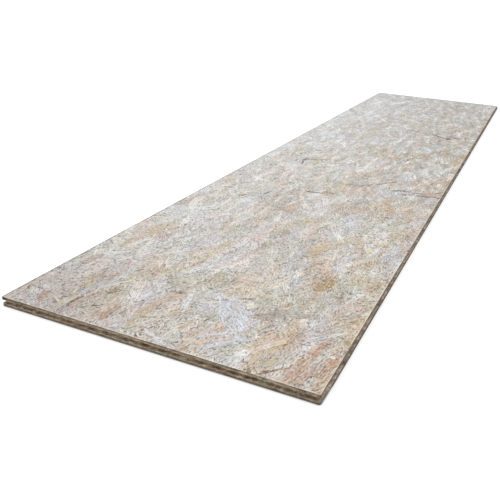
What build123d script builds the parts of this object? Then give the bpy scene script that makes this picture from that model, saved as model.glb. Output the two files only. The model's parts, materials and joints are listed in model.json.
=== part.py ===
"""Flooring panel of oriented strand board, with a tongue or a groove milled on each of its four edges."""

import os

from build123d import *

# The face that shows once the panel is laid, from lip edge to shoulder both ways
face_width = 590.0
face_length = 2400.0
board_thickness = 18.0

# The tongue, at mid thickness on the +X long edge and the +Y end
tongue_length = 5.0
tongue_root_thickness = 5.8
tongue_tip_thickness = 5.0
tongue_tip_chamfer = 0.9

# The groove, on the -X long edge and the -Y end, takes the next panel's tongue with this much room
side_clearance = 0.15
tip_clearance = 1.0
groove_floor_radius = 0.5

# The lower lip stands back, so that the upper faces of two laid panels close tight
lower_lip_setback = 0.2

# Each cutter runs this far past the board
cut_overrun = 5.0

half_width = face_width / 2
half_length = face_length / 2
mid_height = board_thickness / 2
tongue_root_half = tongue_root_thickness / 2
tongue_tip_half = tongue_tip_thickness / 2
groove_half = tongue_root_half + side_clearance
groove_depth = tongue_length + tip_clearance

# Milling planes: first axis from groove to tongue across the board, second axis up
long_edge_plane = Plane(origin=(0, 0, 0), x_dir=(1, 0, 0), z_dir=(0, -1, 0))
end_plane = Plane(origin=(0, 0, 0), x_dir=(0, 1, 0), z_dir=(1, 0, 0))

# The long edges are milled first, then the ends, which also clears the long tongue's near end
milling_passes = (
    (long_edge_plane, half_width, half_length),
    (end_plane, half_length, half_width),
)

with BuildPart() as panel:
    # Pressed board sawn to the face size, with stock left on two sides for the tongues
    with BuildSketch():
        with Locations((-half_width, -half_length)):
            Rectangle(
                face_width + tongue_length,
                face_length + tongue_length,
                align=(Align.MIN, Align.MIN),
            )
    extrude(amount=board_thickness)

    for milling_plane, half_face, half_run in milling_passes:
        cut_reach = half_run + tongue_length + cut_overrun
        lip_edge = -half_face
        groove_floor = lip_edge + groove_depth
        lower_lip_edge = lip_edge + lower_lip_setback
        tongue_tip = half_face + tongue_length

        # Groove between the lips, and the strip off the lower lip
        with BuildSketch(milling_plane):
            with BuildLine():
                Polyline(
                    (lip_edge - cut_overrun, mid_height + groove_half),
                    (groove_floor, mid_height + groove_half),
                    (groove_floor, mid_height - groove_half),
                    (lower_lip_edge, mid_height - groove_half),
                    (lower_lip_edge, -cut_overrun),
                    (lip_edge - cut_overrun, -cut_overrun),
                    close=True,
                )
            make_face()
            floor_corners = vertices().filter_by_position(Axis.X, groove_floor, groove_floor)
            fillet(floor_corners, groove_floor_radius)
        extrude(amount=cut_reach, both=True, mode=Mode.SUBTRACT)

        # What stands above, below and past the tapered tongue
        with BuildSketch(milling_plane):
            with Locations((half_face, mid_height)):
                Rectangle(
                    tongue_length + cut_overrun,
                    board_thickness + cut_overrun,
                    align=(Align.MIN, Align.CENTER),
                )
            with BuildLine():
                Polyline(
                    (half_face, mid_height - tongue_root_half),
                    (tongue_tip, mid_height - tongue_tip_half),
                    (tongue_tip, mid_height + tongue_tip_half),
                    (half_face, mid_height + tongue_root_half),
                    close=True,
                )
            make_face(mode=Mode.SUBTRACT)
            tip_corners = vertices().filter_by_position(Axis.X, tongue_tip, tongue_tip)
            chamfer(tip_corners, tongue_tip_chamfer)
        extrude(amount=cut_reach, both=True, mode=Mode.SUBTRACT)

panel.part.label = "osb_panel"

os.makedirs("parts", exist_ok=True)
export_step(panel.part, "parts/osb_panel.step")
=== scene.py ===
"""Looks of a tongue-and-groove strand-board panel: pressed strands on both faces, and cut strand
ends along the milled edges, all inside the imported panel's box.

Sizes are in millimetres, and meshes are scaled to metres as they are made."""

import json
import math
from collections import namedtuple

import bmesh
import bpy
import numpy as np
from mathutils import Matrix, Vector


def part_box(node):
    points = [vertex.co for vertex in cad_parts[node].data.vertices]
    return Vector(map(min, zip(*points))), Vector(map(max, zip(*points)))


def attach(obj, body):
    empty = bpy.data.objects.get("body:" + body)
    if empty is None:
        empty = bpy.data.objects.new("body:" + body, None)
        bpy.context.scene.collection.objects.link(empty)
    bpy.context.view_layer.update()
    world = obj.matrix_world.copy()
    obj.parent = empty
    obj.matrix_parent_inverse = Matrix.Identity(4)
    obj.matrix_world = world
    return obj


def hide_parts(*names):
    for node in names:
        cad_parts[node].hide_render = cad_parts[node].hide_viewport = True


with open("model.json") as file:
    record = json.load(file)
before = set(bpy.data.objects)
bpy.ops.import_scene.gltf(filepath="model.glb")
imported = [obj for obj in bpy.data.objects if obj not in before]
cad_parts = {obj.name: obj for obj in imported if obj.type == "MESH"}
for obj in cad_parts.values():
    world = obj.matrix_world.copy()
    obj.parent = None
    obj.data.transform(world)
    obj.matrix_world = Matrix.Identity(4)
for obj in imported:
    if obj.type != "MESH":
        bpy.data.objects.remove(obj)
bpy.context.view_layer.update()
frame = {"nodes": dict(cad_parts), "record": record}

MM = 0.001
SEED = 11
rng = np.random.default_rng(SEED)

# The panel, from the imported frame
mounts = {mount["name"]: np.array(mount["pos_m"]) / MM for mount in frame["record"]["mounts"]}
LIP_X, LIP_Y = mounts["long_edge_groove"][0], mounts["end_groove"][1]
SHOULDER_X, SHOULDER_Y = mounts["long_edge_tongue"][0], mounts["end_tongue"][1]
TOP = mounts["upper_face"][2]
MID = TOP / 2
TIP_X, TIP_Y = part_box("osb_panel")[1].xy / MM
FACE_LOW = np.array((LIP_X, LIP_Y))
FACE_HIGH = np.array((SHOULDER_X, SHOULDER_Y))

# The sides of the upper face in metres, for the materials
LEFT, NEAR = FACE_LOW * MM
RIGHT, FAR = FACE_HIGH * MM

# The milled profile, as in the solid
GROOVE_HALF = 3.05
GROOVE_DEPTH = 6.0
TONGUE_ROOT_HALF = 2.9
TONGUE_TIP_HALF = 1.6
LOWER_LIP_SETBACK = 0.2

# Depth that the modelled strands take up on the faces, and strand ends on the edges
FACE_LAYER = 0.8
EDGE_LAYER = 0.5
EDGE_CHIP = 0.25
FOOT = 0.04


def srgb(red, green, blue):
    """A colour as seen, 0 to 255, as the linear colour that a shader takes."""
    share = np.array((red, green, blue)) / 255
    linear = np.where(share <= 0.04045, share / 12.92, ((share + 0.055) / 1.055) ** 2.4)
    return (*linear, 1.0)


def added(name, data):
    """A new object that shows the given mesh, light or camera."""
    thing = bpy.data.objects.new(name, data)
    bpy.context.collection.objects.link(thing)
    return thing


# Materials: a noise, and what a colour does as some value goes from low to high

Texture = namedtuple("Texture", "size detail roughness")
Tone = namedtuple("Tone", "low high shade light")
Shade = namedtuple("Shade", "low high at_low at_high")
Stain = namedtuple("Stain", "low high share colour")
NOISE_RANGE = (0.3, 0.7)
UNTONED = (1.0, 1.0, 1.0)
BUMP_DEPTH = 0.3


class Graph:
    """A material's nodes. An input takes a number, a colour or another node's output."""

    def __init__(self, name):
        self.material = bpy.data.materials.new(name)
        self.material.use_nodes = True
        self.tree = self.material.node_tree
        self.shader = self.tree.nodes["Principled BSDF"]

    def feed(self, socket, value):
        if isinstance(value, bpy.types.NodeSocket):
            self.tree.links.new(value, socket)
        else:
            socket.default_value = value

    def add(self, kind, inputs, output=0, **settings):
        node = self.tree.nodes.new("ShaderNode" + kind)
        for name, value in settings.items():
            setattr(node, name, value)
        for socket, value in inputs.items():
            self.feed(node.inputs[socket], value)
        return node.outputs[output]

    def math(self, operation, first, second):
        return self.add("Math", {0: first, 1: second}, operation=operation)

    def vector(self, operation, first, second, output=0):
        return self.add("VectorMath", {0: first, 1: second}, output, operation=operation)

    def attribute(self, name):
        return self.add("Attribute", {}, output="Vector", attribute_name=name)

    def axes(self, vector, names):
        return [self.add("SeparateXYZ", {0: vector}, output=name) for name in names]

    def noise(self, vector, sizes, texture):
        """A noise over coordinates in which one unit is as long as the given size along each axis."""
        factors = tuple(1 / size for size in sizes)
        inputs = {
            "Vector": self.vector("MULTIPLY", vector, factors),
            "Scale": 1.0,
            "Detail": texture.detail,
            "Roughness": texture.roughness,
        }
        return self.add("TexNoise", inputs)

    def span(self, value, low, high, to_low=0.0, to_high=1.0):
        """value's range from low to high, drawn out to another range and held at its ends."""
        inputs = {"Value": value, 1: low, 2: high, 3: to_low, 4: to_high}
        return self.add("MapRange", inputs)

    def ramp(self, value, colours):
        node = self.tree.nodes.new("ShaderNodeValToRGB")
        elements = node.color_ramp.elements
        while len(elements) < len(colours):
            elements.new(0.5)
        for place, (element, colour) in enumerate(zip(elements, colours)):
            element.position = place / (len(colours) - 1)
            element.color = colour
        self.feed(node.inputs["Fac"], value)
        return node.outputs["Color"]

    def mix(self, share, first, second, blend="MIX"):
        inputs = {0: share, 6: first, 7: second}
        return self.add("Mix", inputs, output=2, data_type="RGBA", blend_type=blend)

    def scaled(self, colour, factor):
        return self.add("VectorMath", {0: colour, "Scale": factor}, operation="SCALE")

    def shaded(self, colour, value, shade):
        """colour scaled by one factor where value is low, and by another where it is high."""
        return self.scaled(colour, self.span(value, *shade))

    def toned(self, colour, value, tone):
        """colour filtered by one tone where value is low, and by another where it is high."""
        share = self.span(value, tone.low, tone.high)
        tint = self.mix(share, (*tone.shade, 1.0), (*tone.light, 1.0))
        return self.vector("MULTIPLY", colour, tint)

    def stained(self, colour, value, stain, strength=1.0, within=None):
        """colour with a stain's own mixed in as value goes from low to high, within a mask if given."""
        share = self.span(value, stain.low, stain.high, 0.0, stain.share * strength)
        if within is not None:
            share = self.math("MULTIPLY", share, within)
        return self.mix(share, colour, stain.colour)

    def surfaced(self, colour, roughness, relief, bump, specular):
        """The material, once colour, roughness and relief are on its shader."""
        inputs = {"Height": relief, "Distance": BUMP_DEPTH * MM, "Strength": bump}
        self.feed(self.shader.inputs["Base Color"], colour)
        self.feed(self.shader.inputs["Roughness"], roughness)
        self.feed(self.shader.inputs["Normal"], self.add("Bump", inputs))
        self.shader.inputs["Specular IOR Level"].default_value = specular
        return self.material


# Strand material: noises in each strand's own coordinates, of which the third is its seed

GRAIN = Texture((34, 2.1), 3.0, 0.6)
DASH = Texture((9, 1.9), 1.0, 0.5)
RIM_MOTTLE = Texture((9, 9), 2.0, 0.5)
FLUSH = Texture((50, 12), 2.0, 0.5)
TINT = Texture((38, 17), 2.0, 0.5)
SEED_STEP = 0.01

# Noises that run on over the face, and the share that one of them has in the hues of the strands
PATCH = Texture((24, 66), 3.0, 0.6)
SPECK = Texture((3, 7), 1.0, 0.5)
FAR_FLECK = Texture((6, 26), 2.0, 0.6)
WEATHER = Texture((150, 260), 3.0, 0.55)
BLEED = Texture((52, 130), 2.0, 0.5)
BLEED_SHARE = 0.7
TINT_HEIGHT = 50.0

# A strand's own colours
BLUSH = Stain(0.51, 0.62, 0.75, srgb(211, 183, 167))
SAGE = Stain(0.47, 0.37, 0.5, srgb(202, 206, 192))
HONEY = Stain(0.53, 0.64, 0.75, srgb(211, 189, 150))
LILAC = Stain(0.48, 0.38, 0.75, srgb(208, 209, 215))
PIT = srgb(94, 77, 62)
TUFT = srgb(234, 231, 223)
DASH_TUFT, DASH_PIT = Stain(0.43, 0.31, 0.9, TUFT), Stain(0.55, 0.66, 0.9, PIT)
SPECK_TUFT, SPECK_PIT = Stain(0.42, 0.28, 0.65, TUFT), Stain(0.58, 0.72, 0.75, PIT)
# Along a strand's rim: dark pits with painted shadow, and pale torn fibres with painted highlight
RIM_PIT_AND_SHADOW, RIM_TUFT_AND_HIGHLIGHT = Stain(0.46, 0.56, 0.75, PIT), Stain(0.46, 0.36, 0.75, TUFT)
ROUGH_SHADE = Shade(0.0, 1.0, 1.12, 0.97)
GRAIN_TONE = Tone(*NOISE_RANGE, (0.645, 0.6, 0.54), (1.255, 1.28, 1.31))
PATCH_TONE = Tone(*NOISE_RANGE, (0.82, 0.77, 0.71), (1.13, 1.16, 1.2))
LEFT_PATCH_SHARE = 0.35

# Bolder patches towards the far end, with painted light that pales the far left, painted shade at the
# far right and a painted sheen that greys the wood towards the far end
WEATHER_RANGE = (0.35, 0.65)
WEATHER_TONE = Tone(*WEATHER_RANGE, (0.912, 0.926, 0.95), (1.092, 1.11, 1.14))
BOLD_SHADE, BOLD_LIGHT = (0.86, 0.84, 0.81), (1.12, 1.13, 1.14)
BOLD_PATCH = Tone(0.25, 0.75, BOLD_SHADE, BOLD_LIGHT)
BOLD_FLECK = Tone(0.34, 0.66, BOLD_SHADE, BOLD_LIGHT)
BOLD_SHARES = (0.35, 1.15)
# Painted light: paler and a little cooler towards the far left
PAINTED_LIGHT_REACH = 1000
PAINTED_LIGHT_TONE = Tone(0.0, 1.0, UNTONED, (1.012, 1.026, 1.04))
# Painted shade: darker towards the far right
RIGHT_PAINTED_SHADE = Shade(0.0, 1.0, 1.0, 0.97)
# Painted sheen: greyer and a little cooler towards the far end and the left, broken up by the weather
# noise
LEFT_SHEEN, RIGHT_SHEEN = 0.35, -0.25
NEAR_SHEEN, FAR_SHEEN = 0.1, 0.85
UNEVEN_SHEEN = 0.25
SHEEN_GREY_SHARE = 0.85
SHEEN_FILTER = (0.985, 1.0, 1.01, 1.0)

# Darker towards the near left corner, bright arrises at the right and near sides, and dark ones
# elsewhere
CORNER_DARK_REACH = 330
CORNER_DARK_TONE = Tone(0.0, CORNER_DARK_REACH * MM, (0.79, 0.763, 0.774), UNTONED)
Arris = namedtuple("Arris", "breadth least colour")
ARRIS_DARK = srgb(98, 90, 86)
BRIGHT_ARRIS = Arris(2.6, 0.15, srgb(246, 230, 214))
LEFT_ARRIS = Arris(4.6, 0.65, ARRIS_DARK)
FAR_ARRIS = Arris(8.0, 0.5, ARRIS_DARK)
ARRIS_WAVER = 1.3
ARRIS_BREAK_RANGE = (0.36, 0.6)

STRAND_ROUGHNESS = (0.6, 0.82)
STRAND_BUMP = 0.6
STRAND_SPECULAR = 0.35

Noises = namedtuple("Noises", "grain dash fray patch speck far_fleck weather flush tint")


def strand_noises(graph, spot):
    """The noises of one material, some along each strand and some over the whole face."""
    place = graph.attribute("strand_place")

    def along_strand(texture):
        return graph.noise(place, (*np.multiply(texture.size, MM), SEED_STEP), texture)

    def over_face(texture, height=0.0):
        raised = graph.vector("ADD", spot, (0.0, 0.0, height))
        return graph.noise(raised, (*np.multiply(texture.size, MM), 1.0), texture)

    return Noises(
        grain=along_strand(GRAIN),
        dash=along_strand(DASH),
        fray=along_strand(RIM_MOTTLE),
        patch=over_face(PATCH),
        speck=over_face(SPECK),
        far_fleck=over_face(FAR_FLECK),
        weather=over_face(WEATHER),
        flush=graph.mix(BLEED_SHARE, along_strand(FLUSH), over_face(BLEED)),
        tint=graph.mix(BLEED_SHARE, along_strand(TINT), over_face(BLEED, TINT_HEIGHT)),
    )


def strand_colour(graph, noises, x, tones, tinting):
    """A strand's hue and grain, with torn fibres and pits over it, and along its rim pits with painted
    shadow and torn fibres with painted highlight.
    """
    tone, rough, rim = graph.axes(graph.attribute("strand_look"), "XYZ")
    outer = graph.math("SUBTRACT", 1.0, rim)
    wood = graph.ramp(tone, tones)
    wood = graph.stained(wood, noises.flush, BLUSH, tinting)
    wood = graph.stained(wood, noises.flush, SAGE, tinting)
    wood = graph.stained(wood, noises.tint, HONEY, tinting)
    wood = graph.stained(wood, noises.tint, LILAC, tinting)
    wood = graph.shaded(wood, rough, ROUGH_SHADE)
    wood = graph.toned(wood, noises.grain, GRAIN_TONE)
    patchy = graph.toned(wood, noises.patch, PATCH_TONE)
    wood = graph.mix(graph.span(x, LEFT, 0.0, LEFT_PATCH_SHARE, 1.0), wood, patchy)
    wood = graph.toned(wood, noises.weather, WEATHER_TONE)
    wood = graph.stained(wood, noises.dash, DASH_TUFT, within=rough)
    wood = graph.stained(wood, noises.dash, DASH_PIT, within=rough)
    wood = graph.stained(wood, noises.speck, SPECK_TUFT)
    wood = graph.stained(wood, noises.speck, SPECK_PIT)
    # Painted shadow and painted highlight along the rim, mixed with pits and torn fibres
    wood = graph.stained(wood, noises.fray, RIM_PIT_AND_SHADOW, within=outer)
    return graph.stained(wood, noises.fray, RIM_TUFT_AND_HIGHLIGHT, within=outer)


def bolder_with_painted_light(graph, noises, x, y, wood, painted_light):
    """Wood with bolder patches far away, painted light at the far left, painted shade at the far right,
    and a painted sheen that greys it, all as strong as painted_light.
    """
    bolder = graph.toned(wood, noises.patch, BOLD_PATCH)
    bolder = graph.toned(bolder, noises.far_fleck, BOLD_FLECK)
    beyond = graph.span(y, NEAR / 2, 0.0)
    bold = graph.math("MULTIPLY", beyond, graph.span(x, LEFT, RIGHT, *BOLD_SHARES))
    wood = graph.mix(bold, wood, bolder)

    # Painted light at the far left and painted shade at the far right
    away = graph.span(y, NEAR, NEAR + PAINTED_LIGHT_REACH * MM, 0.0, painted_light)
    pale = graph.math("MULTIPLY", away, graph.span(x, LEFT, RIGHT, 1.0, 0.0))
    wood = graph.toned(wood, pale, PAINTED_LIGHT_TONE)
    painted_dim = graph.math("MULTIPLY", away, graph.span(x, 0.0, RIGHT))
    wood = graph.shaded(wood, painted_dim, RIGHT_PAINTED_SHADE)

    # Painted sheen, greying the wood most at the far end and the left
    sheen = graph.span(y, NEAR, FAR, NEAR_SHEEN, FAR_SHEEN)
    sheen = graph.math("ADD", sheen, graph.span(x, LEFT, RIGHT, LEFT_SHEEN, RIGHT_SHEEN))
    uneven = graph.span(noises.weather, *WEATHER_RANGE, -UNEVEN_SHEEN, UNEVEN_SHEEN)
    sheen = graph.math("ADD", sheen, uneven)
    sheened = graph.mix(SHEEN_GREY_SHARE, wood, graph.add("RGBToBW", {0: wood}))
    sheened = graph.mix(1.0, sheened, SHEEN_FILTER, blend="MULTIPLY")
    return graph.mix(graph.span(sheen, 0.0, 1.0, 0.0, painted_light), wood, sheened)


def corner_and_arrises(graph, noises, spot, x, y, wood):
    """Wood darker towards one corner, with each arris in its own colour in a band that breaks up along
    it.
    """
    apart = graph.vector("DISTANCE", spot, (LEFT, NEAR, TOP * MM), output="Value")
    wood = graph.toned(wood, apart, CORNER_DARK_TONE)
    waver = graph.span(noises.grain, *NOISE_RANGE, -ARRIS_WAVER * MM, ARRIS_WAVER * MM)
    from_right = graph.math("SUBTRACT", RIGHT, x)
    from_near = graph.math("SUBTRACT", y, NEAR)
    insets = (
        (graph.math("MINIMUM", from_right, from_near), BRIGHT_ARRIS),
        (graph.math("SUBTRACT", x, LEFT), LEFT_ARRIS),
        (graph.math("SUBTRACT", FAR, y), FAR_ARRIS),
    )
    for inset, arris in insets:
        band = graph.span(graph.math("ADD", inset, waver), 0.0, arris.breadth * MM, 1.0, 0.0)
        broken = graph.span(noises.patch, *ARRIS_BREAK_RANGE, arris.least, 1.0)
        wood = graph.mix(graph.math("MULTIPLY", band, broken), wood, arris.colour)
    return wood


def strand_material(name, tones, painted_light, tinting=1.0):
    graph = Graph(name)
    spot = graph.add("TexCoord", {}, output="Object")
    x, y = graph.axes(spot, "XY")
    noises = strand_noises(graph, spot)
    wood = strand_colour(graph, noises, x, tones, tinting)
    wood = bolder_with_painted_light(graph, noises, x, y, wood, painted_light)
    wood = corner_and_arrises(graph, noises, spot, x, y, wood)
    roughness = graph.span(noises.grain, *NOISE_RANGE, *STRAND_ROUGHNESS)
    relief = graph.math("SUBTRACT", noises.grain, noises.dash)
    return graph.surfaced(wood, roughness, relief, STRAND_BUMP, STRAND_SPECULAR)


# Milled wood: layers of strands seen on edge, with torn spots

LAYER = Texture((20, 20, 2.2), 3.0, 0.65)
CAST = Texture((60, 60, 6), 2.0, 0.5)
BLOTCH = Texture((6.5, 6.5, 2.6), 2.0, 0.55)
FLECK = Texture((2.4, 2.4, 0.8), 2.0, 0.6)
EDGE_TONES = (srgb(104, 85, 68), srgb(164, 146, 125), srgb(196, 180, 159), srgb(222, 210, 191))
LAYER_RANGE = (0.28, 0.72)
OWN_TONE_SHARE = 0.5
CAST_TONE = Tone(0.38, 0.62, (1.05, 0.98, 0.94), (0.97, 1.02, 1.0))
BLOTCH_SHADE = Shade(0.34, 0.66, 0.67, 1.32)
FLECK_SHADE = Shade(*NOISE_RANGE, 0.54, 1.38)
VOID = Stain(0.36, 0.26, 0.6, srgb(64, 46, 32))

# Painted shade: darker at the foot, at the upper lip, on the tongues and at the far end
FOOT_REACH = 3.4
FOOT_PAINTED_SHADE = Shade(0.0, FOOT_REACH * MM, 0.3, 1.05)
LIP_REACH = (3.6, 2.2)
LIP_PAINTED_SHADE = Shade((TOP - LIP_REACH[0]) * MM, (TOP - LIP_REACH[1]) * MM, 1.0, 0.66)
TONGUE_PAINTED_SHADE = (0.83, 0.84, 0.92)
TIP_REACH = 2.0
TIP_PAINTED_SHADE = 0.34
FAR_EDGE_PAINTED_SHADE = Shade(0.0, FAR, 1.0, 0.7)

# Darker on the upper lip at the near left corner, over two distances from it
Soiling = namedtuple("Soiling", "reach least")
CORNER_DARKENING = (Soiling(15, 0.03), Soiling(170, 0.72))

EDGE_ROUGHNESS = (0.75, 0.92)
EDGE_BUMP = 0.7
EDGE_SPECULAR = 0.25


def edge_material(name, strands):
    """Milled wood, in which each strand has a tone of its own if strands are modelled."""
    graph = Graph(name)
    spot = graph.add("TexCoord", {}, output="Object")
    x, y, z = graph.axes(spot, "XYZ")

    def in_the_wood(texture):
        return graph.noise(spot, np.multiply(texture.size, MM), texture)

    layer, fleck = in_the_wood(LAYER), in_the_wood(FLECK)
    wood = graph.ramp(graph.span(layer, *LAYER_RANGE), EDGE_TONES)
    if strands:
        tone = graph.axes(graph.attribute("strand_look"), "X")[0]
        wood = graph.mix(OWN_TONE_SHARE, wood, graph.ramp(tone, EDGE_TONES))
    wood = graph.toned(wood, in_the_wood(CAST), CAST_TONE)
    wood = graph.shaded(wood, in_the_wood(BLOTCH), BLOTCH_SHADE)
    wood = graph.shaded(wood, fleck, FLECK_SHADE)
    wood = graph.stained(wood, fleck, VOID)
    # Painted shade at the foot and just under the top arris
    wood = graph.shaded(wood, z, FOOT_PAINTED_SHADE)
    wood = graph.shaded(wood, z, LIP_PAINTED_SHADE)
    # Painted shade on each tongue, darkest at its tip
    for place, shoulder, tip in ((x, SHOULDER_X, TIP_X), (y, SHOULDER_Y, TIP_Y)):
        root = (shoulder - 2 * EDGE_LAYER) * MM
        wood = graph.toned(wood, place, Tone(root - EDGE_LAYER * MM, root, UNTONED, TONGUE_PAINTED_SHADE))
        wood = graph.shaded(wood, place, Shade((tip - TIP_REACH) * MM, tip * MM, 1.0, TIP_PAINTED_SHADE))

    level = graph.vector("MULTIPLY", spot, (1.0, 1.0, 0.0))
    apart = graph.vector("DISTANCE", level, (LEFT, NEAR, 0.0), output="Value")
    below = graph.span(z, MID * MM, (MID - EDGE_LAYER) * MM)
    for darkening in CORNER_DARKENING:
        darkened = graph.span(apart, 0.0, darkening.reach * MM, darkening.least, 1.0)
        wood = graph.scaled(wood, graph.math("MAXIMUM", darkened, below))
    # Painted shade, darker towards the far end
    wood = graph.shaded(wood, y, FAR_EDGE_PAINTED_SHADE)
    roughness = graph.span(layer, *NOISE_RANGE, *EDGE_ROUGHNESS)
    return graph.surfaced(wood, roughness, fleck, EDGE_BUMP, EDGE_SPECULAR)


# Slabs: every strand is a thin closed slab with its own outline

Slab = namedtuple("Slab", "upper lower place inner inner_place look cut")
SIDE_TAPER = (0.55, 1.0)
SIDE_WAVER = 0.05
BOW = 0.012
RIM = 1.3
MOST_RIM_SHARE = 0.35
RIM_DROP = 0.07
SEED_RANGE = (0, 100)


def strand_outline(length, width, ragged, side_points, end_points):
    """One strand along its own axis: sides that taper and waver, and torn ends."""
    stations = np.linspace(-0.5, 0.5, side_points)
    half = width / 2 * np.interp(stations, (-0.5, 0.5), rng.uniform(*SIDE_TAPER, 2))
    waver = rng.normal(0, SIDE_WAVER * width, (2, side_points))
    right = np.column_stack((stations * length, waver[0] - half))
    left = np.column_stack((stations * length, waver[1] + half))[::-1]
    ends = []
    for near, far in ((right[-1], left[0]), (left[-1], right[0])):
        shares = (np.arange(end_points) + 1) / (end_points + 1)
        tooth = near + shares[:, None] * (far - near)
        tooth[:, 0] += rng.uniform(-ragged, ragged, end_points) * width
        ends.append(tooth)
    outline = np.vstack((right, ends[0], left, ends[1]))
    bow = rng.normal(0, BOW) * length
    outline[:, 1] += bow * (1 - (2 * outline[:, 0] / length) ** 2)
    return outline


def clipped(points, low, high):
    """The part of an outline that lies on the panel's face."""
    for axis in (0, 1):
        for limit, side in ((low[axis], 1), (high[axis], -1)):
            inside = side * (points[:, axis] - limit) >= 0
            kept = []
            for here in range(len(points)):
                after = (here + 1) % len(points)
                if inside[here]:
                    kept.append(points[here])
                if inside[here] != inside[after]:
                    step = points[after] - points[here]
                    kept.append(points[here] + step * (limit - points[here, axis]) / step[axis])
            if len(kept) < 3:
                return None
            points = np.array(kept)
    return points


def drawn_in(local):
    """An outline drawn in by the rim's width, about its own middle."""
    middle = local.mean(0)
    reach = np.abs(local - middle).max(0)
    return middle + (local - middle) * (1 - np.minimum(RIM / reach, MOST_RIM_SHARE))


def strand_axes(heading):
    """Directions along and across a strand that is turned by heading from the panel's length."""
    along = np.array((math.sin(heading), math.cos(heading)))
    return along, np.array((-along[1], along[0]))


def laid(local, centre, along, across):
    """Points in a strand's own coordinates, as they lie on the face."""
    return centre + local[:, :1] * along + local[:, 1:] * across


def face_strand(centre, heading, outline, height, slopes, thickness, look, under, rimmed):
    """A strand lying on the upper face, or on the underside, cut off at the panel's edges."""
    along, across = strand_axes(heading)
    points = laid(outline, centre, along, across)
    chip = abs(rng.normal(0, EDGE_CHIP))
    low, high = FACE_LOW + chip, FACE_HIGH - chip
    if under:
        low, high = low + LOWER_LIP_SETBACK + EDGE_LAYER, high - EDGE_LAYER
    if (points < low).any() or (points > high).any():
        points = clipped(points, low, high)
        if points is None:
            return None
    on_edge = np.isclose(np.hstack((points, points)), np.hstack((low, high)))
    cut = (on_edge & np.roll(on_edge, -1, axis=0)).any(axis=1)
    local = np.column_stack(((points - centre) @ along, (points - centre) @ across))
    rise = local @ np.array(slopes)
    level = height + rise - max(0.0, height + rise.max() - TOP)
    upper = np.column_stack((points, level))
    lower = np.column_stack((points, level - thickness))
    if under:
        upper[:, 2] = TOP - upper[:, 2]
        lower[:, 2] = TOP - lower[:, 2]
        upper, lower = lower, upper
    seed = np.full(len(local), rng.uniform(*SEED_RANGE))
    place = np.column_stack((local, seed))
    inner, inner_place = None, None
    if rimmed:
        inner_local = drawn_in(local)
        inner_points = np.clip(laid(inner_local, centre, along, across), low, high)
        inner = np.column_stack((inner_points, level + (inner_local - local) @ np.array(slopes)))
        inner_place = np.column_stack((inner_local, seed))
        upper[:, 2] -= np.where(on_edge.any(axis=1), 0.0, RIM_DROP)
    return Slab(upper, lower, place, inner, inner_place, look, cut)


# Pieces: one mesh of many slabs, with a flat map on which no two slabs overlap

FACE_SKIN, SAWN_SKIN = 0, 1
MAP_GAP = 2.0
SHELF_GROWTH = 1.02


def shelf_corners(sizes):
    """Corners of rectangles laid side by side on the shelves of a square, and the square's side."""
    order = np.argsort(-sizes[:, 1])
    side = math.sqrt(sizes.prod(1).sum())
    while True:
        corners = np.zeros_like(sizes)
        filled, base, shelf = 0.0, 0.0, 0.0
        for index in order:
            if filled + sizes[index, 0] > side:
                filled, base, shelf = 0.0, base + shelf, 0.0
            corners[index] = filled, base
            filled += sizes[index, 0]
            shelf = max(shelf, sizes[index, 1])
        if base + shelf <= side:
            return corners, side
        side *= SHELF_GROWTH


def add_flat_map(mesh, slabs, places, counts):
    """A map of every slab's own outline, for slabs with the given counts of points."""
    lows = np.array([slab.place[:, :2].min(0) for slab in slabs])
    sizes = np.array([np.ptp(slab.place[:, :2], axis=0) for slab in slabs]) + MAP_GAP
    corners, side = shelf_corners(sizes)
    owner = np.repeat(np.arange(len(slabs)), counts)
    flat = (places[:, :2] - lows[owner] + corners[owner] + MAP_GAP / 2) / side
    vertex = np.empty(len(mesh.loops), np.int32)
    mesh.loops.foreach_get("vertex_index", vertex)
    mesh.uv_layers.new(name="OFBake").uv.foreach_set("vector", flat[vertex].ravel())


def slab_faces(slab, start):
    """A slab's faces, for points numbered from start, and the skin of each face."""
    upper = start + np.arange(len(slab.upper))
    lower = upper + len(upper)
    inner = lower + len(upper)
    upper_next, lower_next, inner_next = (np.roll(ring, -1) for ring in (upper, lower, inner))
    faces = [upper]
    if slab.inner is not None:
        faces = [inner, *np.column_stack((upper, upper_next, inner_next, inner))]
    faces.append(lower[::-1])
    skins = [FACE_SKIN] * len(faces) + np.where(slab.cut, SAWN_SKIN, FACE_SKIN).tolist()
    faces += [*np.column_stack((upper, lower, lower_next, upper_next))]
    return [face.tolist() for face in faces], skins


def slab_object(name, slabs, *materials):
    """A piece of many slabs, with each slab's own coordinates, and its look: tone, roughness and rim."""
    vertices, faces, places, looks, skins, counts = [], [], [], [], [], []
    start = 0
    for slab in slabs:
        size = len(slab.upper)
        vertices += [slab.upper, slab.lower]
        places += [slab.place, slab.place]
        rims = np.ones(2 * size)
        if slab.inner is not None:
            vertices.append(slab.inner)
            places.append(slab.inner_place)
            on_edge = slab.cut | np.roll(slab.cut, 1)
            rims = np.concatenate((on_edge, np.zeros(size), np.ones(size)))
        looks.append(np.column_stack((np.tile(slab.look, (len(rims), 1)), rims)))
        slab_part, slab_skins = slab_faces(slab, start)
        faces += slab_part
        skins += slab_skins
        counts.append(len(rims))
        start += len(rims)

    places = np.vstack(places)
    mesh = bpy.data.meshes.new(name)
    mesh.from_pydata(np.vstack(vertices) * MM, [], faces)
    attributes = {"strand_place": places * (MM, MM, SEED_STEP), "strand_look": np.vstack(looks)}
    for label, values in attributes.items():
        attribute = mesh.attributes.new(label, "FLOAT_VECTOR", "POINT")
        attribute.data.foreach_set("vector", values.ravel())
    add_flat_map(mesh, slabs, places, counts)
    for material in materials:
        mesh.materials.append(material)
    mesh.polygons.foreach_set("material_index", np.array(skins, np.int32))
    piece = added(name, mesh)
    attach(piece, "root")


# Strands of the faces, in families by colour and size, with the deeper of two depths first

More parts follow.
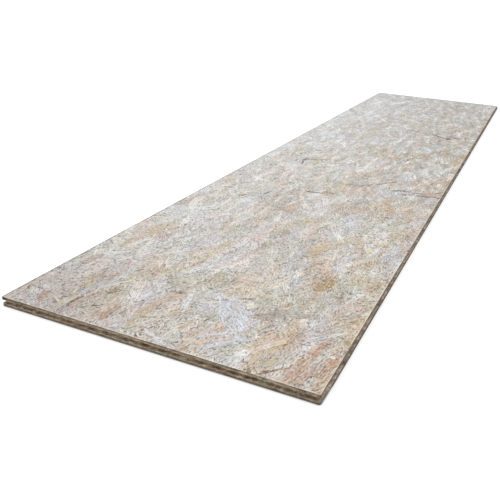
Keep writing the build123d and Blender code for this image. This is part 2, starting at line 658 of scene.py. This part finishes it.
Family = namedtuple(
    "Family", "name tones count pieces length width depths spread ragged points rimmed")

GROUND = (srgb(183, 173, 159), srgb(209, 204, 193), srgb(196, 193, 185), srgb(205, 192, 181),
          srgb(199, 198, 189), srgb(218, 215, 208), srgb(202, 198, 196), srgb(209, 199, 178))
PALE = (srgb(217, 209, 196), srgb(225, 217, 205), srgb(227, 222, 213), srgb(214, 214, 217))
TAN = (srgb(208, 188, 176), srgb(204, 178, 164), srgb(210, 192, 156), srgb(186, 154, 134))
CREAM = (srgb(226, 218, 206), srgb(236, 229, 218), srgb(226, 212, 194), srgb(218, 217, 213))
BARK = (srgb(79, 62, 48), srgb(115, 92, 72), srgb(147, 120, 97), srgb(121, 107, 93))

UPPER_FAMILIES = (
    Family("ground_strands", GROUND, 3200, pieces=6, length=(55, 125), width=(16, 40),
           depths=(0.58, 0.28), spread=20, ragged=0.5, points=(4, 2), rimmed=True),
    Family("pale_strands", PALE, 800, pieces=2, length=(45, 110), width=(10, 32),
           depths=(0.42, 0.12), spread=19, ragged=0.6, points=(4, 2), rimmed=True),
    Family("tan_strands", TAN, 280, pieces=1, length=(35, 95), width=(7, 22),
           depths=(0.42, 0.10), spread=21, ragged=0.6, points=(4, 2), rimmed=True),
    Family("cream_slivers", CREAM, 4200, pieces=1, length=(5, 24), width=(1.5, 4.0),
           depths=(0.28, 0.03), spread=26, ragged=0.8, points=(3, 1), rimmed=False),
    Family("split_slivers", CREAM, 1500, pieces=1, length=(20, 80), width=(0.8, 2.0),
           depths=(0.24, 0.03), spread=28, ragged=0.8, points=(3, 1), rimmed=False),
    Family("bark_slivers", BARK, 4600, pieces=1, length=(2.5, 10), width=(1.0, 2.6),
           depths=(0.26, 0.03), spread=30, ragged=0.8, points=(3, 0), rimmed=False),
    Family("crack_slivers", BARK, 1000, pieces=1, length=(7, 26), width=(0.8, 1.9),
           depths=(0.24, 0.03), spread=26, ragged=0.8, points=(3, 0), rimmed=False),
    Family("deep_strands", GROUND, 1300, pieces=1, length=(60, 130), width=(20, 44),
           depths=(0.70, 0.54), spread=24, ragged=0.5, points=(4, 2), rimmed=False),
)
UNDER_FAMILIES = (
    Family("ground_strands", GROUND, 3200, pieces=3, length=(55, 125), width=(16, 40),
           depths=(0.45, 0.18), spread=26, ragged=0.5, points=(4, 2), rimmed=False),
    Family("pale_strands", PALE, 800, pieces=1, length=(45, 110), width=(10, 32),
           depths=(0.30, 0.04), spread=28, ragged=0.6, points=(4, 2), rimmed=False),
    Family("tan_strands", TAN, 330, pieces=1, length=(35, 95), width=(7, 22),
           depths=(0.30, 0.03), spread=28, ragged=0.6, points=(4, 2), rimmed=False),
    Family("deep_strands", GROUND, 1300, pieces=1, length=(60, 130), width=(20, 44),
           depths=(0.62, 0.46), spread=26, ragged=0.5, points=(4, 2), rimmed=False),
)
# Share of the painted light, painted shade and painted sheen on each face's strands
UPPER_PAINTED_LIGHT = 0.9
UNDER_PAINTED_LIGHT = 0.3
STRAND_THICKNESS = (0.5, 0.8)
MOST_SLOPE = (0.003, 0.012)
ROUGH_POWER = 1.2
OVERLAP = 30.0

# Strands that lie any way, and the freer turn of the others at the near end, down to 1 further on
STRAY_SHARE = 0.07
NEAR_TURN = 1.9
TURN_REACH = 1500


def height_between(deep, shallow):
    """A height between two depths below the upper face."""
    return TOP - deep + rng.uniform(0, deep - shallow)


def scattered_family(family, under):
    """A family's strands strewn over a whole face, most of them along the panel."""
    slabs = []
    for _ in range(family.count):
        length = rng.uniform(*family.length)
        width = min(rng.uniform(*family.width), length / 2)
        centre = rng.uniform(FACE_LOW - OVERLAP, FACE_HIGH + OVERLAP)
        freedom = np.interp(centre[1], (LIP_Y, LIP_Y + TURN_REACH), (NEAR_TURN, 1.0))
        heading = math.radians(rng.normal(0, family.spread * freedom))
        if rng.uniform() < STRAY_SHARE:
            heading = rng.uniform(0, math.pi)
        slab = face_strand(
            centre=centre,
            heading=heading,
            outline=strand_outline(length, width, family.ragged, *family.points),
            height=height_between(*family.depths),
            slopes=rng.uniform(-1, 1, 2) * MOST_SLOPE,
            thickness=rng.uniform(*STRAND_THICKNESS),
            look=(rng.uniform(), rng.uniform() ** ROUGH_POWER),
            under=under,
            rimmed=family.rimmed,
        )
        if slab is not None:
            slabs.append(slab)
    return slabs


def dress_face(side, families, under, painted_light):
    """The families of one face, each cut into as many pieces along the panel as it is given."""
    sawn = edge_material(f"{side}_sawn_strands", True)
    for family in families:
        name = f"{side}_{family.name}"
        material = strand_material(name, family.tones, painted_light)
        slabs = sorted(scattered_family(family, under), key=lambda slab: slab.upper[:, 1].mean())
        for number, part in enumerate(np.array_split(np.arange(len(slabs)), family.pieces), 1):
            suffix = f"_{number}" if family.pieces > 1 else ""
            slab_object(name + suffix, [slabs[index] for index in part], material, sawn)


# Single strands that stand out on the upper face, with headings in degrees from the panel's length

Mark = namedtuple("Mark", "x y heading length width tone")
MARK_TONES = (srgb(207, 210, 217), srgb(214, 209, 199), srgb(216, 203, 172), srgb(196, 178, 150),
              srgb(186, 161, 114), srgb(196, 170, 154), srgb(194, 158, 134), srgb(184, 181, 172),
              srgb(150, 118, 97), srgb(102, 91, 83))
(BLUE_WHITE, CHALK, STRAW, AMBER, GOLD, PINK, CORAL, OLIVE_GREY, RUST,
 UMBER) = np.linspace(0, 1, len(MARK_TONES))
MARKS = (
    Mark(91, -1066, -44, 98, 46, BLUE_WHITE),
    Mark(186, -904, 12, 46, 30, GOLD),
    Mark(-230, -838, -4, 85, 26, AMBER),
    Mark(-45, -1092, 10, 82, 22, AMBER),
    Mark(-260, -1011, 20, 34, 22, PINK),
    Mark(-118, -992, -6, 62, 11, PINK),
    Mark(-26, -565, 12, 64, 34, PINK),
    Mark(-275, -642, 0, 50, 20, PINK),
    Mark(284, -1140, 14, 60, 20, CORAL),
    Mark(254, -1108, 10, 46, 11, CORAL),
    Mark(261, -1141, 12, 70, 16, CHALK),
    Mark(290, -1054, 30, 26, 10, GOLD),
    Mark(177, -1168, 15, 20, 12, STRAW),
    Mark(202, -1165, 20, 22, 15, STRAW),
    Mark(-36, -1142, 64, 36, 6, AMBER),
    Mark(40, -1040, 60, 38, 6, RUST),
    Mark(81, -1014, 58, 26, 5, RUST),
    Mark(-250, -914, 0, 58, 16, AMBER),
    Mark(152, -1038, 62, 78, 26, OLIVE_GREY),
    Mark(186, -1022, 72, 66, 20, OLIVE_GREY),
    Mark(113, -1154, 42, 84, 13, BLUE_WHITE),
    Mark(92, -1136, 54, 70, 8, BLUE_WHITE),
    Mark(213, -1181, 50, 58, 8, RUST),
    Mark(-166, -1152, 8, 86, 13, PINK),
    Mark(-179, -1175, 2, 46, 7, UMBER),
    Mark(-177, -1153, 5, 32, 6, UMBER),
    Mark(-178, -1146, 0, 12, 6, UMBER),
    Mark(-136, -1152, 64, 13, 5, UMBER),
    Mark(241, -1168, 14, 70, 30, PINK),
    Mark(-238, -1160, -18, 34, 15, CORAL),
    Mark(-180, -1107, 12, 62, 16, BLUE_WHITE),
    Mark(-99, -1156, 2, 42, 15, CORAL),
    Mark(-116, -1138, 62, 26, 9, CORAL),
    Mark(270, -280, 75, 56, 24, PINK),
    Mark(164, -162, 12, 72, 40, BLUE_WHITE),
    Mark(266, 190, 8, 70, 34, BLUE_WHITE),
    Mark(193, -40, 62, 22, 9, UMBER),
    Mark(248, 32, 70, 22, 9, UMBER),
    Mark(-166, -24, 60, 20, 9, UMBER),
    Mark(-238, -502, 64, 24, 7, UMBER),
)

# How the strands of a mark vary, with their turn in radians
MARK_PAINTED_LIGHT = 0.6
MARK_TINTING = 0.3
MARK_DEPTHS = (0.09, 0.01)
MARK_SLOPE = (0.0012, 0.004)
MARK_ROUGH = (0.15, 0.6)
MARK_STRAY = 0.012
MARK_TURN = 0.1
MARK_RAGGED = 0.8
MARK_POINTS = (5, 2)
LEAST_MARK = 4.0

# Splinters on a mark: one, and one more for each of these widths, with their drift and their size
SPLINTER_WIDTH = 12
SPLINTER_DRIFT = np.array((1 / 6, 1 / 4))
SPLINTER_SHARE = (0.35, 0.7)

# Creases: dark lines from point to point over the upper face
Crease = namedtuple("Crease", "width points")
CREASES = (
    Crease((5, 9), ((-140, -501), (-126, -479))),
    Crease((5, 9), ((-46, -428), (29, -407))),
    Crease((6, 12), ((158, -309), (174, -294), (248, -288), (290, -251))),
    Crease((7, 13), ((190, -322), (244, -306), (293, -296))),
    Crease((8, 13), ((128, 426), (193, 384), (218, 409), (293, 442))),
    Crease((6, 10), ((-153, -202), (-159, -155), (-106, -116))),
    Crease((6, 10), ((8, 445), (73, 451))),
    Crease((3, 6), ((22, -319), (72, -310), (154, -215))),
)
CREASE_STEP = (10, 34)
CREASE_STRAY = 2.2
CREASE_TURN = 9
CREASE_SHARE = 0.9


def crease_marks():
    """Each crease as a broken run of short narrow strands laid end to end."""
    for crease in CREASES:
        for start, end in zip(crease.points, crease.points[1:]):
            leg = np.subtract(end, start)
            heading = math.degrees(math.atan2(*leg))
            reach, passed = np.hypot(*leg), 0.0
            while passed < reach:
                length = rng.uniform(*CREASE_STEP)
                centre = start + leg * (passed + length / 2) / reach + rng.normal(0, CREASE_STRAY, 2)
                width = rng.uniform(*crease.width)
                tone = UMBER if rng.uniform() < CREASE_SHARE else RUST
                yield Mark(*centre, heading + rng.normal(0, CREASE_TURN), length, width, tone)
                passed += length / CREASE_SHARE


def dress_marks():
    """Each mark is one whole strand with a few narrower splinters of it lying on top."""
    slabs = []
    for mark in (*MARKS, *crease_marks()):
        heading = math.radians(mark.heading)
        along, across = strand_axes(heading)
        splinters = 1 + int(mark.width / SPLINTER_WIDTH)
        for number in range(1 + splinters):
            whole = number == 0
            drift = rng.normal(0, SPLINTER_DRIFT * (mark.length, mark.width))
            share = 1.0 if whole else rng.uniform(*SPLINTER_SHARE)
            centre = np.array((mark.x, mark.y))
            if not whole:
                centre = centre + drift[0] * along + drift[1] * across
            length = mark.length * share
            width = max(mark.width * share, LEAST_MARK)
            slabs.append(face_strand(
                centre=centre,
                heading=heading + rng.normal(0, MARK_TURN),
                outline=strand_outline(length, width, MARK_RAGGED, *MARK_POINTS),
                height=height_between(*MARK_DEPTHS),
                slopes=rng.uniform(-1, 1, 2) * MARK_SLOPE,
                thickness=STRAND_THICKNESS[1],
                look=(mark.tone + rng.normal(0, MARK_STRAY), rng.uniform(*MARK_ROUGH)),
                under=False,
                rimmed=True,
            ))
    sawn = edge_material("sawn_marked_strands", True)
    slabs = [slab for slab in slabs if slab is not None]
    wood = strand_material("marked_strands", MARK_TONES, MARK_PAINTED_LIGHT, MARK_TINTING)
    slab_object("marked_strands", slabs, wood, sawn)


# Strand ends along the milled edges

EdgeFace = namedtuple("EdgeFace", "start end low high run out")
ROW = (0.55, 0.95)
SEGMENT = {"x": (8, 34), "y": (18, 95)}
END_TAPER = (0.08, 0.3)
END_WAVER = 0.15
END_BACK = (0.02, 0.8)

# The long tongue's near end is knocked back over this length, to this share of its reach
WORN_END = 36.0
WORN_SHARE = 0.15


def edge_faces():
    """The upright milled faces: each runs along x or y, between two heights, at one place across."""
    upper = (MID + GROOVE_HALF, TOP - FACE_LAYER)
    lower = (FOOT, MID - GROOVE_HALF)
    over = (MID + TONGUE_ROOT_HALF, TOP - FACE_LAYER)
    below = (FOOT, MID - TONGUE_ROOT_HALF)
    tip = (MID - TONGUE_TIP_HALF, MID + TONGUE_TIP_HALF)
    floor = (MID - GROOVE_HALF, MID + GROOVE_HALF)
    spans = {"x": (LIP_X, SHOULDER_X, TIP_X), "y": (LIP_Y, SHOULDER_Y, TIP_Y)}
    tip_insets = {"x": GROOVE_DEPTH, "y": WORN_END}
    faces = {"grooved": [], "tongued": []}
    for run, side in (("x", "y"), ("y", "x")):
        start, end, far_end = spans[run]
        lip, shoulder, tongue = spans[side]
        faces["grooved"] += [
            EdgeFace(start, end, *upper, run, (lip, -1)),
            EdgeFace(start, end, *lower, run, (lip + LOWER_LIP_SETBACK, -1)),
            EdgeFace(start + GROOVE_DEPTH, end, *floor, run, (lip + GROOVE_DEPTH, -1)),
        ]
        faces["tongued"] += [
            EdgeFace(start, end, *over, run, (shoulder, 1)),
            EdgeFace(start, end, *below, run, (shoulder, 1)),
            EdgeFace(start + tip_insets[run], far_end, *tip, run, (tongue, 1)),
        ]
    return faces


def strand_end(face, start, end, low, high):
    """A strand cut through by the milling: a thin lens in the edge, standing a little back from it."""
    taper = rng.uniform(*END_TAPER, 2) * (end - start)
    middle = (low + high) / 2 + rng.uniform(-END_WAVER, END_WAVER, 2)
    run = np.array((start, start + taper[0], end - taper[1], end, end - taper[1], start + taper[0]))
    rise = np.array((middle[0], low, low, middle[1], high, high))
    place, outward = face.out
    back = rng.uniform(*END_BACK) ** 2 * EDGE_LAYER
    surface = np.full(len(run), place - outward * back)
    depth = surface - outward * 2 * EDGE_LAYER
    if face.run == "x":
        upper = np.column_stack((run, surface, rise))
        lower = np.column_stack((run, depth, rise))
    else:
        upper = np.column_stack((surface, run, rise))
        lower = np.column_stack((depth, run, rise))
    if (face.run == "x") == (outward > 0):
        upper, lower = lower, upper
    seed = np.full(len(run), rng.uniform(*SEED_RANGE))
    local = np.column_stack((run - start, rise - low, seed))
    look = (rng.uniform(), 0.0)
    return Slab(upper, lower, local, None, None, look, np.zeros(len(run), bool))


def dress_edges():
    for kind, faces in edge_faces().items():
        slabs = []
        for face in faces:
            low = face.low
            while low < face.high - ROW[0] / 2:
                high = min(low + rng.uniform(*ROW), face.high)
                start = face.start
                while start < face.end:
                    end = min(start + rng.uniform(*SEGMENT[face.run]), face.end)
                    slabs.append(strand_end(face, start, end, low, high))
                    start = end
                low = high
        name = f"{kind}_edge_strands"
        slab_object(name, slabs, edge_material(name, True))


# The board's body: points that are this near to a milled plane move with it

MATCH = 0.01


def wear_tongue(mesh):
    """Knocks back the long tongue's near end, from a new ring of points across the board."""
    root, ring = (SHOULDER_X - EDGE_LAYER) * MM, (LIP_Y + WORN_END) * MM
    form = bmesh.new()
    form.from_mesh(mesh)
    whole = [*form.verts, *form.edges, *form.faces]
    bmesh.ops.bisect_plane(form, geom=whole, plane_co=(0, ring, 0), plane_no=(0, 1, 0))
    for point in form.verts:
        if point.co.x > root and point.co.y < ring - FOOT * MM:
            point.co.x = root + (point.co.x - root) * WORN_SHARE
    form.to_mesh(mesh)
    form.free()


def milled_board():
    """The solid's own mesh, drawn in under the strands on its faces and edges."""
    mesh = frame["nodes"]["osb_panel"].data.copy()
    mesh.name = "milled_board"
    points = np.empty(len(mesh.vertices) * 3)
    mesh.vertices.foreach_get("co", points)
    points = points.reshape(-1, 3) / MM
    moves = (
        (0, LIP_X, EDGE_LAYER), (0, LIP_X + LOWER_LIP_SETBACK, EDGE_LAYER),
        (0, SHOULDER_X, -EDGE_LAYER), (0, TIP_X, -EDGE_LAYER),
        (1, LIP_Y, EDGE_LAYER), (1, LIP_Y + LOWER_LIP_SETBACK, EDGE_LAYER),
        (1, SHOULDER_Y, -EDGE_LAYER), (1, TIP_Y, -EDGE_LAYER),
        (2, 0.0, FACE_LAYER), (2, TOP, -FACE_LAYER),
    )
    moved = points.copy()
    for axis, place, move in moves:
        moved[np.abs(points[:, axis] - place) < MATCH, axis] += move
    mesh.vertices.foreach_set("co", (moved * MM).ravel())
    wear_tongue(mesh)
    mesh.materials.clear()
    mesh.materials.append(edge_material("milled_board", False))
    board = added("milled_board", mesh)
    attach(board, "root")
    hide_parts("osb_panel")


# Stage: white floor and world, soft light, and the photograph's camera, with wide sizes in metres

WHITE = (1.0, 1.0, 1.0, 1.0)
LIT_FLOOR = (0.7, 0.7, 0.7, 1.0)
SEEN_FLOOR = (0.5, 0.5, 0.5, 1.0)
FLOOR_HALF = 60.0
FLOOR_GLOW = 0.7
CONTACT = 5.0
CONTACT_RANGE = (0.6, 0.88)


def white_for_the_camera(tree, lit, shown):
    """Chooses the shown shader for rays that end in the picture, and the lit one for all others."""
    path = tree.nodes.new("ShaderNodeLightPath")
    seen = path.outputs["Is Camera Ray"]
    for ray in ("Is Glossy Ray", "Is Transmission Ray"):
        most = tree.nodes.new("ShaderNodeMath")
        most.operation = "MAXIMUM"
        tree.links.new(seen, most.inputs[0])
        tree.links.new(path.outputs[ray], most.inputs[1])
        seen = most.outputs[0]
    choice = tree.nodes.new("ShaderNodeMixShader")
    tree.links.new(seen, choice.inputs[0])
    tree.links.new(lit, choice.inputs[1])
    tree.links.new(shown, choice.inputs[2])
    return choice.outputs[0]


def make_floor():
    """A pale floor that shows white, apart from the shadow where the panel touches it."""
    signs = ((-1, -1), (1, -1), (1, 1), (-1, 1))
    corners = [(across * FLOOR_HALF, along * FLOOR_HALF, 0) for across, along in signs]
    mesh = bpy.data.meshes.new("floor")
    mesh.from_pydata(corners, [], [(0, 1, 2, 3)])
    graph = Graph("floor")
    graph.tree.nodes.remove(graph.shader)
    lit = graph.add("BsdfDiffuse", {"Color": LIT_FLOOR})
    seen = graph.add("BsdfDiffuse", {"Color": SEEN_FLOOR})
    open_air = graph.add("AmbientOcclusion", {"Distance": CONTACT * MM}, output="AO")
    glow = graph.add("Emission", {"Strength": graph.span(open_air, *CONTACT_RANGE, 0.0, FLOOR_GLOW)})
    lifted = graph.add("AddShader", {0: seen, 1: glow})
    result = white_for_the_camera(graph.tree, lit, lifted)
    graph.feed(graph.tree.nodes["Material Output"].inputs["Surface"], result)
    mesh.materials.append(graph.material)
    floor = added("floor", mesh)


WORLD_LIGHT = 0.62
SUN_LIGHT = 0.24
SUN_ANGLE = 40
SUN_TURN = (-28, -22, 0)
Lamp = namedtuple("Lamp", "name place aim size watts")
LAMPS = (
    Lamp("left_soft_box", Vector((-0.9, 0.4, 0.7)), Vector((-0.25, 0.4, 0.0)), (3.0, 0.8), 8.0),
    Lamp("near_soft_box", Vector((1.0, -1.5, 1.3)), Vector((0.2, -0.9, 0.0)), (1.2, 1.2), 3.0),
)


def make_light():
    world = bpy.data.worlds.new("studio")
    world.use_nodes = True
    bpy.context.scene.world = world
    tree = world.node_tree
    ambient = tree.nodes["Background"]
    ambient.inputs["Color"].default_value = WHITE
    ambient.inputs["Strength"].default_value = WORLD_LIGHT
    white = tree.nodes.new("ShaderNodeBackground")
    white.inputs["Color"].default_value = WHITE
    result = white_for_the_camera(tree, ambient.outputs[0], white.outputs[0])
    tree.links.new(result, tree.nodes["World Output"].inputs["Surface"])
    sun = bpy.data.lights.new("sun", "SUN")
    sun.energy = SUN_LIGHT * math.pi
    sun.angle = math.radians(SUN_ANGLE)
    added("sun", sun).rotation_euler = [math.radians(angle) for angle in SUN_TURN]
    for lamp in LAMPS:
        light = bpy.data.lights.new(lamp.name, "AREA")
        light.shape = "RECTANGLE"
        light.size, light.size_y = lamp.size
        light.energy = lamp.watts
        soft_box = added(lamp.name, light)
        soft_box.location = lamp.place
        soft_box.rotation_euler = (lamp.aim - lamp.place).to_track_quat("-Z", "Y").to_euler()


PICTURE = 500
FOCAL_PIXELS = 577.56
CENTRE_PIXEL = 296.31
SENSOR = 36.0
VIEW_END = 200.0
CAMERA_PLACE = Vector((493.1, -1806.5, 517.3 + TOP)) * MM
AZIMUTH, ELEVATION, ROLL = (math.radians(angle) for angle in (21.98, 25.13, 2.75))


def make_camera():
    camera = bpy.data.cameras.new("camera")
    camera.sensor_width = SENSOR
    camera.lens = SENSOR * FOCAL_PIXELS / PICTURE
    camera.shift_x = 0.5 - CENTRE_PIXEL / PICTURE
    camera.clip_end = VIEW_END
    back = Vector((
        math.sin(AZIMUTH) * math.cos(ELEVATION),
        -math.cos(AZIMUTH) * math.cos(ELEVATION),
        math.sin(ELEVATION),
    ))
    right = Vector((0, 0, 1)).cross(back).normalized()
    up = back.cross(right)
    turned_right = math.cos(ROLL) * right + math.sin(ROLL) * up
    turned_up = math.cos(ROLL) * up - math.sin(ROLL) * right
    axes = Matrix((turned_right, turned_up, back)).transposed()
    camera_object = added("camera", camera)
    camera_object.matrix_world = Matrix.Translation(CAMERA_PLACE) @ axes.to_4x4()
    bpy.context.scene.camera = camera_object


make_camera()
make_light()
make_floor()
milled_board()
dress_edges()
dress_face("upper", UPPER_FAMILIES, False, UPPER_PAINTED_LIGHT)
dress_face("under", UNDER_FAMILIES, True, UNDER_PAINTED_LIGHT)
dress_marks()

bpy.context.scene.view_settings.view_transform = "Standard"
